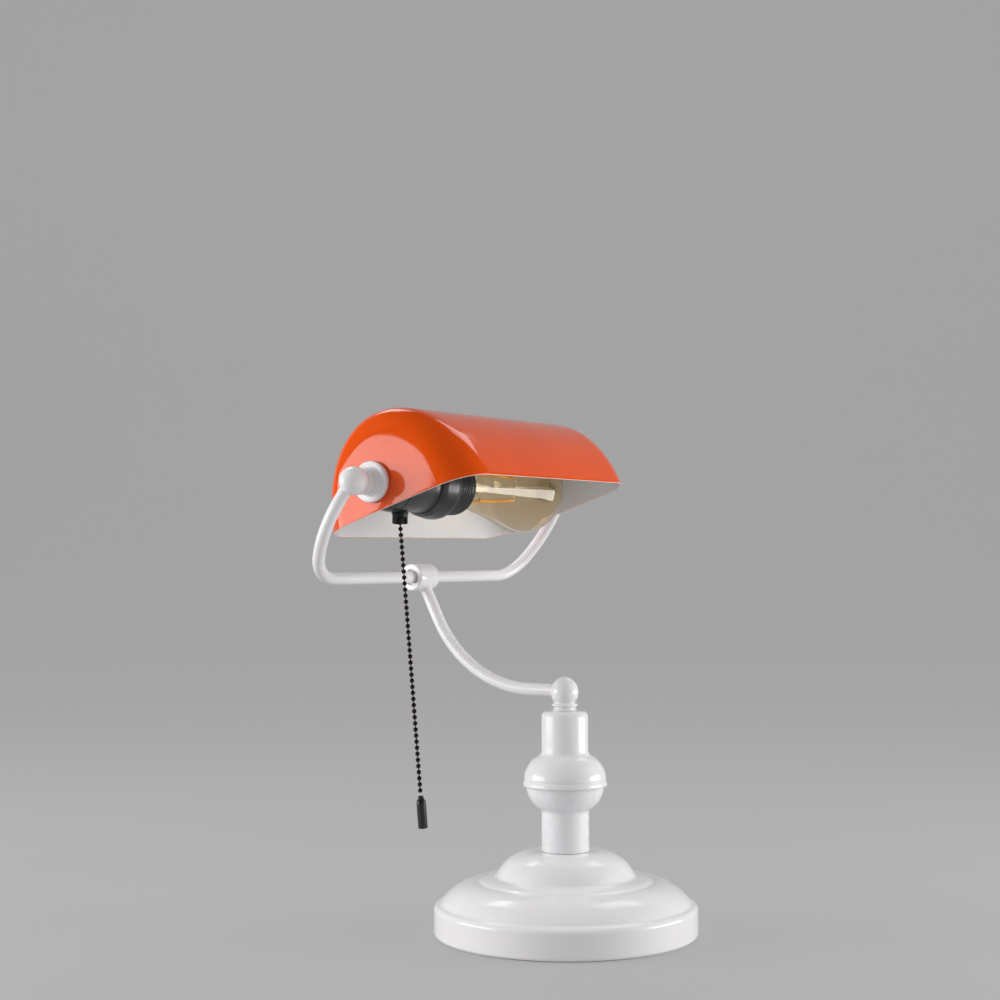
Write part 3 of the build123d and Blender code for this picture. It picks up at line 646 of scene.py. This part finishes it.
def threaded_skirt():
    """Skirt with a coarse round thread winding along its outside."""
    count = int((THREAD_END - THREAD_START) / ROW_GAP)
    lengths = [THREAD_START - 2.2, THREAD_START - 1.2, THREAD_START - 0.6]
    lengths += [THREAD_START + ROW_GAP * i for i in range(count + 1)]
    lengths += [-20.9, -20.4]
    ends = soften([(HOLDER_R + 0.1, -20.0, 0.2), (HOLDER_R + 0.5, -19.4, 0.4), (HOLDER_R + 0.5, -17.8, 0.7),
                   (19.2, SKIRT_END, 0.5), (17.8, SKIRT_END, 0.4), (17.6, -18), (17.6, -39.6)], closed=False)
    verts = []
    for x in lengths:
        fade = max(0.0, min(1.0, (x - THREAD_START) / THREAD_RUNOUT, (THREAD_END - x) / THREAD_RUNOUT))
        for k in range(SKIRT_STEPS):
            a = FULL_TURN * k / SKIRT_STEPS
            wave = 0.5 - 0.5 * cos(FULL_TURN * ((x - THREAD_START) / THREAD_PITCH + k / SKIRT_STEPS))
            r = HOLDER_R - 0.1 + fade * THREAD_DEPTH * min(1.0, 1.5 * wave)
            verts.append((PIVOT + Vector((x, r * cos(a), r * sin(a)))) * MM)
    for r, x in ends:
        for k in range(SKIRT_STEPS):
            a = FULL_TURN * k / SKIRT_STEPS
            verts.append((PIVOT + Vector((x, r * cos(a), r * sin(a)))) * MM)
    rows = [range(start, start + SKIRT_STEPS) for start in range(0, len(verts), SKIRT_STEPS)]
    faces = []
    for one, two in zip(rows, rows[1:] + rows[:1]):
        for k in range(SKIRT_STEPS):
            j = (k + 1) % SKIRT_STEPS
            faces.append([one[k], one[j], two[j], two[k]])
    return verts, faces


piece("holder_skirt", threaded_skirt(), black_plastic, "yoke", ["holder_skirt"])
brass = plated("brass", (0.74, 0.52, 0.2), (0.62, 0.42, 0.15), gloss=(0.2, 0.34), grain=300)
refinish(ceramic, "shell_insulator", "switch_block")
refinish(brass, "screw_shell", "centre_contact")

# ---- Switch nozzle ----
# Black turned bush under the holder that the chain runs out of. Its mouth is slotted into prongs
# that are pressed round the plunger, and it screws into the switch in the holder.
NOZZLE_X = -80.0
NOZZLE_DROP = 27.6
NOZZLE_R = 5.3
PRONG_COUNT = 6
PRONG_START = 0.16
PRONG_SHARE = 0.68
PRONG_TURN = 0.35
PRONG_FAN = 9
nozzle_at = (NOZZLE_X, PIVOT.y, PIVOT.z)
nozzle_outline = soften([(2.7, 17), (4, 17), (4, HOLDER_R - 0.6), (NOZZLE_R + 0.5, HOLDER_R - 0.4, 0.2),
                         (NOZZLE_R + 0.5, HOLDER_R + 0.7, 0.3), (NOZZLE_R - 0.1, HOLDER_R + 1.2, 0.2),
                         (NOZZLE_R - 0.1, NOZZLE_DROP - 4.6, 0.2), (2.7, NOZZLE_DROP - 4.6)])
nozzle_parts = [spin(nozzle_outline, nozzle_at, (0, 0, -1), 72)]
prong_section = soften([(3.1, NOZZLE_DROP - 5), (NOZZLE_R - 0.1, NOZZLE_DROP - 5),
                        (NOZZLE_R, NOZZLE_DROP - 0.7, 0.4), (4.5, NOZZLE_DROP, 0.3), (3.1, NOZZLE_DROP, 0.2)])
for i in range(PRONG_COUNT):
    verts = []
    faces = []
    for k in range(PRONG_FAN):
        share = PRONG_START + PRONG_SHARE * k / (PRONG_FAN - 1)
        a = FULL_TURN * (i + share) / PRONG_COUNT + PRONG_TURN
        for r, drop in prong_section:
            verts.append(Vector((NOZZLE_X + r * cos(a), PIVOT.y + r * sin(a), PIVOT.z - drop)) * MM)
    width = len(prong_section)
    for k in range(PRONG_FAN - 1):
        for m in range(width):
            n = (m + 1) % width
            faces.append([k * width + m, k * width + n, (k + 1) * width + n, (k + 1) * width + m])
    faces.append(list(range(width)))
    faces.append(list(range((PRONG_FAN - 1) * width, PRONG_FAN * width)))
    nozzle_parts.append((verts, faces))
black_metal = plated("black_metal", (0.035, 0.034, 0.033), (0.02, 0.02, 0.02), metal=0.7,
                     gloss=(0.3, 0.45), grain=300)
piece("switch_nozzle", together(*nozzle_parts), black_metal, "yoke", ["switch_nozzle"])

# ---- Bulb ----
# Pear-shaped filament bulb of amber glass with an aluminium screw cap. Inside, a clear glass stem
# carries four coated filament strips that meet in pairs at the far end, on thin wires.
GLASS_X = -20.0
BULB_R = 32.0
BULB_X = 71.5
GLASS = 0.7
SPAN_STEPS = 5
TIP_STEPS = 40
TIP_START = -0.12


def glass(name, colour, ior=1.45):
    """Thin clear glass with a faint wave in it."""
    material, tree, shader = nodes_of(name)
    wavy = tuple(c * 0.97 for c in colour)
    tree.links.new(tint(tree, speckle(tree, scale=25, detail=3), colour, wavy), shader.inputs["Base Color"])
    relief(tree, shader, speckle(tree, scale=30, detail=1), depth=0.00004, strength=0.3)
    shader.inputs["Roughness"].default_value = 0.0
    shader.inputs["Transmission Weight"].default_value = 1.0
    shader.inputs["IOR"].default_value = ior
    return material


def bulb_side(inset):
    """Outside of the bulb's glass, from the cap to the tip, shrunk by an inset."""
    line = [(13.2 - inset, GLASS_X - 1)]
    flare = [(13.2, -20), (13.6, -15), (14.9, -5), (17.4, 8), (20.3, 21), (23.6, 35), (27.0, 48)]
    flare += [(29.8, 58), (31.5, 66)]
    ends = [(12.9, -27)] + flare + [(BULB_R, 74)]
    for i in range(1, len(ends) - 2):
        p0, p1, p2, p3 = (Vector(ends[i + k]) for k in (-1, 0, 1, 2))
        for k in range(1, SPAN_STEPS + 1):
            t = k / SPAN_STEPS
            q = 0.5 * (2 * p1 + (p2 - p0) * t + (2 * p0 - 5 * p1 + 4 * p2 - p3) * t * t
                       + (3 * p1 - p0 - 3 * p2 + p3) * t**3)
            line.append((q.x - inset, q.y))
    for i in range(TIP_STEPS + 1):
        a = TIP_START + (pi / 2 - TIP_START) * i / TIP_STEPS
        line.append(((BULB_R - inset) * cos(a), BULB_X + (BULB_R - inset) * sin(a)))
    line[-1] = (0.0, BULB_X + BULB_R - inset)
    return line


amber_glass = glass("amber_glass", (0.975, 0.875, 0.69))
clear_glass = glass("clear_glass", (0.99, 0.99, 0.985))
bulb_solid = spin(bulb_side(0) + bulb_side(GLASS)[::-1], PIVOT, (1, 0, 0), 128)
bulb = piece("bulb_glass", bulb_solid, amber_glass, "yoke", ["bulb_glass"])
bulb.visible_shadow = False
CAP_THREADS = 6
CAP_THREAD_START = -46.5
CAP_PITCH = 4
cap_line = soften([(0, -53), (4, -53, 0.6), (5, -51.6, 0.4), (9, -49.5), (12.6, -47.5, 0.6)])
for i in range(CAP_THREADS):
    start = CAP_THREAD_START + CAP_PITCH * i
    cap_line += [(12.4, start), (12.9, start + 0.9), (13.1, start + 1.6), (12.9, start + 2.4)]
    cap_line += [(12.4, start + 3.2)]
cap_line += [(13.0, -22.4), (13.2, -20), (12.4, -20), (12.0, -22), (11.8, -46), (0, -48)]
aluminium = plated("aluminium", (0.78, 0.78, 0.77), (0.66, 0.66, 0.65), gloss=(0.22, 0.36), grain=300)
piece("bulb_cap", spin(cap_line, PIVOT, (1, 0, 0), 96), aluminium, "yoke", ["bulb_cap"])
stem_line = soften([(0, -20), (8.6, -20, 0.4), (7.2, -12, 6), (4.2, 0, 6), (2.4, 20, 4), (2.0, 29, 1),
                    (0, 30)])
stem = piece("bulb_stem", spin(stem_line, PIVOT, (1, 0, 0), 64), clear_glass,
             "yoke", ["bulb_stem"])
stem.visible_shadow = False

STRIP_NEAR = (4.0, 12.5)
STRIP_FAR = (61.0, 8.0)
STRIP_R = 1.0
STRIP_LEAN = 8
STRIP_SAG = 0.8
STRIP_STEPS = 40
WIRE_R = 0.3
filament_parts = []
wire_parts = []
for i, near_angle in enumerate((50, 130, 230, 310)):
    far_angle = 90 if i < 2 else 270
    off = radians(near_angle)
    end = radians(far_angle + (STRIP_LEAN if near_angle < far_angle else -STRIP_LEAN))
    near = PIVOT + Vector((STRIP_NEAR[0], STRIP_NEAR[1] * cos(off), STRIP_NEAR[1] * sin(off)))
    far = PIVOT + Vector((STRIP_FAR[0], STRIP_FAR[1] * cos(end), STRIP_FAR[1] * sin(end)))
    strip = []
    widths = []
    for k in range(STRIP_STEPS + 1):
        t = k / STRIP_STEPS
        sag = sin(pi * t) * STRIP_SAG
        strip.append(near.lerp(far, t) + Vector((0, 0, sag if i < 2 else -sag)))
        widths.append(0.55 if k in (0, STRIP_STEPS) else STRIP_R + 0.08 * sin(k * 1.9))
    filament_parts.append(draw_tube(strip, widths, 12))
    root = PIVOT + Vector((6.0, 2.6 * cos(off), 2.6 * sin(off)))
    wire_parts.append(draw_tube([root, root.lerp(near, 0.5) + Vector((2.0, 0, 0)), near], WIRE_R, 10))
    tip = PIVOT + Vector((STRIP_FAR[0] + 1.5, 0, 0))
    wire_parts.append(draw_tube([far, far.lerp(tip, 0.5) + Vector((1.5, 0, 0)), tip], WIRE_R, 10))
wire_parts.append(draw_tube([PIVOT + Vector((x, 0, 0)) for x in (28, 40, 52, 63)], 0.45, 12))
filament_coat = moulded("filament_coat", (0.82, 0.42, 0.03), (0.72, 0.30, 0.015),
                        gloss=(0.45, 0.6), grain=1500, depth=0.00008)
piece("bulb_filaments", together(*filament_parts), filament_coat, "yoke", ["bulb_filaments"])
piece("bulb_wires", together(*wire_parts), zinc_steel, "yoke", [])

# ---- Pull chain ----
# Ball chain of hollow blackened beads on dumb-bell links, hung from the switch's plunger, with a
# black turned knob crimped on its end. It hangs a few degrees out of plumb.
BEAD_R = 1.6
PITCH = 4.1
BEAD_COUNT = 45
MOUTH_DEPTH = 0.8
CHAIN_TOP = Vector((NOZZLE_X, PIVOT.y, PIVOT.z - NOZZLE_DROP + MOUTH_DEPTH))
CHAIN_DOWN = Vector((sin(radians(2.3)), -sin(radians(3.5)), -1)).normalized()
KNOB_R = 3.25
KNOB_H = 22.0
BEAD_STEPS = 12
HOLE_SHARE = 0.165
ROUND_SHARE = 0.67
bead_line = [(0.0, -1.25), (0.62, -1.3), (0.8, -1.4)]
for i in range(1, BEAD_STEPS):
    a = pi * (HOLE_SHARE + ROUND_SHARE * i / BEAD_STEPS)
    bead_line.append((BEAD_R * sin(a), -BEAD_R * cos(a)))
bead_line += [(0.8, 1.4), (0.62, 1.3), (0.0, 1.25)]
link_line = [(0, -1.45), (0.5, -1.45), (0.42, -0.9), (0.42, 0.9), (0.5, 1.45), (0, 1.45)]
black_brass = plated("black_brass", (0.045, 0.035, 0.028), (0.022, 0.018, 0.015), metal=0.9,
                     gloss=(0.25, 0.4), grain=900)


def beads(first, last):
    """Beads first to last of the chain, each with the link above it."""
    parts = []
    for bead in range(first, last):
        centre = CHAIN_TOP + CHAIN_DOWN * (bead * PITCH)
        parts.append(spin(bead_line, centre, CHAIN_DOWN, 20, False))
        parts.append(spin(link_line, centre - CHAIN_DOWN * (PITCH / 2), CHAIN_DOWN, 10, False))
    return together(*parts)


plunger_line = soften([(0, -22), (1.2, -22, 0.2), (1.2, 0.4, 0.2), (0, 0.4)])
plunger = spin(plunger_line, CHAIN_TOP, (0, 0, -1), 24)
piece("switch_plunger", together(plunger, spin(bead_line, CHAIN_TOP, (0, 0, -1), 24, False)), black_brass,
      "plunger", ["switch_plunger"])
piece("chain_link", beads(1, 2), black_brass, "chain_link", ["chain_link"])
piece("pull_chain", beads(2, BEAD_COUNT), black_brass, "chain", ["pull_chain"])
knob_outline = soften([(0, 0), (1.3, 0, 0.2), (1.9, 0.7, 0.3), (2.2, 2.2, 0.5), (KNOB_R - 0.3, 3.4, 0.7),
                       (KNOB_R, 5.2, 1.0), (KNOB_R, KNOB_H - 0.2, 0.9), (KNOB_R - 1.1, KNOB_H, 0.4),
                       (0, KNOB_H - 0.3)], closed=False)
knob_at = CHAIN_TOP + CHAIN_DOWN * (BEAD_COUNT * PITCH - 0.6)
piece("pull_knob", spin(knob_outline, knob_at, CHAIN_DOWN, 64, False), black_plastic,
      "chain", ["pull_knob"])

# ---- Studio ----
# Seamless paper sweep under soft light: a softbox at each side and two over the back, which the enamel
# mirrors, and broad fills that it doesn't. The camera stands low in front, on the lamp's left.
PAPER_HALF = 6.0
PAPER_FRONT = -5.0
PAPER_BEND_START = 3.0
PAPER_BEND_R = 1.6
PAPER_BEND_STEPS = 20


def paper_sweep():
    """Floor that curves up into a wall behind the lamp."""
    line = [(PAPER_FRONT, 0.0), (0.0, 0.0), (PAPER_BEND_START, 0.0)]
    for i in range(1, PAPER_BEND_STEPS + 1):
        a = pi / 2 * i / PAPER_BEND_STEPS
        line.append((PAPER_BEND_START + PAPER_BEND_R * sin(a), PAPER_BEND_R * (1 - cos(a))))
    line += [(4.6, 3.5), (4.6, 7.0)]
    verts = [(side * PAPER_HALF, depth, up) for depth, up in line for side in (-1, 1)]
    faces = [[2 * i, 2 * i + 1, 2 * i + 3, 2 * i + 2] for i in range(len(line) - 1)]
    return verts, faces


paper_verts, paper_faces = paper_sweep()
paper_mesh = bpy.data.meshes.new("paper")
paper_mesh.from_pydata(paper_verts, [], paper_faces)
paper_mesh.shade_smooth()
paper = bpy.data.objects.new("paper", paper_mesh)
bpy.context.scene.collection.objects.link(paper)
VIEW_TURN = radians(33.222)
paper.rotation_euler = (0, 0, VIEW_TURN - pi / 2)
paper_finish, paper_tree, paper_shader = nodes_of("paper")
paper_cloud = speckle(paper_tree, scale=6, detail=3)
paper_grey = tint(paper_tree, paper_cloud, (0.10, 0.0995, 0.0995), (0.096, 0.0955, 0.0955))
paper_tree.links.new(paper_grey, paper_shader.inputs["Base Color"])
paper_shader.inputs["Emission Color"].default_value = (0.395, 0.388, 0.388, 1)
paper_shader.inputs["Emission Strength"].default_value = 0.88
paper_shader.inputs["Roughness"].default_value = 0.9
paper_shader.inputs["Specular IOR Level"].default_value = 0.1
paper_mesh.materials.append(paper_finish)

toward = Vector((-cos(VIEW_TURN), -sin(VIEW_TURN), 0))
leftward = Vector((-sin(VIEW_TURN), cos(VIEW_TURN), 0))
LAMP_MIDDLE = Vector((0, 0.05, 0.2))
SHADE_MIDDLE = Vector((0.04, 0.06, 0.3))


def softbox(name, place, size, power, target=LAMP_MIDDLE, mirrored=True):
    """Rectangular area light aimed at a point; a fill isn't mirrored in the enamel."""
    data = bpy.data.lights.new(name, "AREA")
    data.shape = "RECTANGLE"
    data.size, data.size_y = size
    data.energy = power
    lamp = bpy.data.objects.new(name, data)
    lamp.location = place
    lamp.visible_glossy = mirrored
    lamp.rotation_euler = (Vector(place) - target).to_track_quat("Z", "Y").to_euler()
    bpy.context.scene.collection.objects.link(lamp)


softbox("left_side", leftward * 1.35 + toward * 0.14 + Vector((0, 0, 0.26)), (1.05, 0.48), 6.6)
softbox("right_side", leftward * -0.8 + Vector((0, 0, 0.16)), (0.6, 0.28), 3.0, SHADE_MIDDLE)
softbox("left_back", leftward * 0.42 - toward * 0.62 + Vector((0, 0, 1.2)), (0.4, 0.5), 1.8)
softbox("right_back", leftward * -0.42 - toward * 0.62 + Vector((0, 0, 1.2)), (0.4, 0.5), 1.1)
for name, place, size, power in (
    ("left_fill", leftward * 1.6 + toward * 0.1 + Vector((0, 0, 0.9)), (1.0, 1.2), 22),
    ("right_fill", leftward * -1.6 + toward * 0.1 + Vector((0, 0, 0.9)), (1.0, 1.2), 18),
    ("front_fill", toward * 2.2 + Vector((0, 0, 0.7)), (1.8, 1.4), 9),
    ("top_fill", Vector((0, 0, 2.3)) + toward * 0.4, (1.8, 1.8), 6),
    ("low_fill", toward * 1.5 - leftward * 0.3 + Vector((0, 0, 0.06)), (1.2, 0.1), 1.5),
):
    softbox(name, place, size, power, mirrored=False)

world = bpy.context.scene.world or bpy.data.worlds.new("world")
bpy.context.scene.world = world
world.use_nodes = True
room = world.node_tree.nodes["Background"]
room.inputs["Color"].default_value = (0.80, 0.80, 0.81, 1)
room.inputs["Strength"].default_value = 0.07

camera_data = bpy.data.cameras.new("camera")
camera_data.sensor_width = 36
camera_data.lens = 64.967
camera_data.clip_start = 0.05
camera = bpy.data.objects.new("camera", camera_data)
bpy.context.scene.collection.objects.link(camera)
ahead = Vector((0.8361195, 0.5476070, 0.0321056))
across = Vector((0.5479946, -0.8364719, -0.0040822))
above = across.cross(ahead)
turned = Matrix((across, above, -ahead)).transposed()
camera_at = (-1.06265, -0.64363, 0.25715)
camera.matrix_world = Matrix.Translation(camera_at) @ turned.to_4x4()
bpy.context.scene.camera = camera
bpy.context.scene.view_settings.view_transform = "Standard"
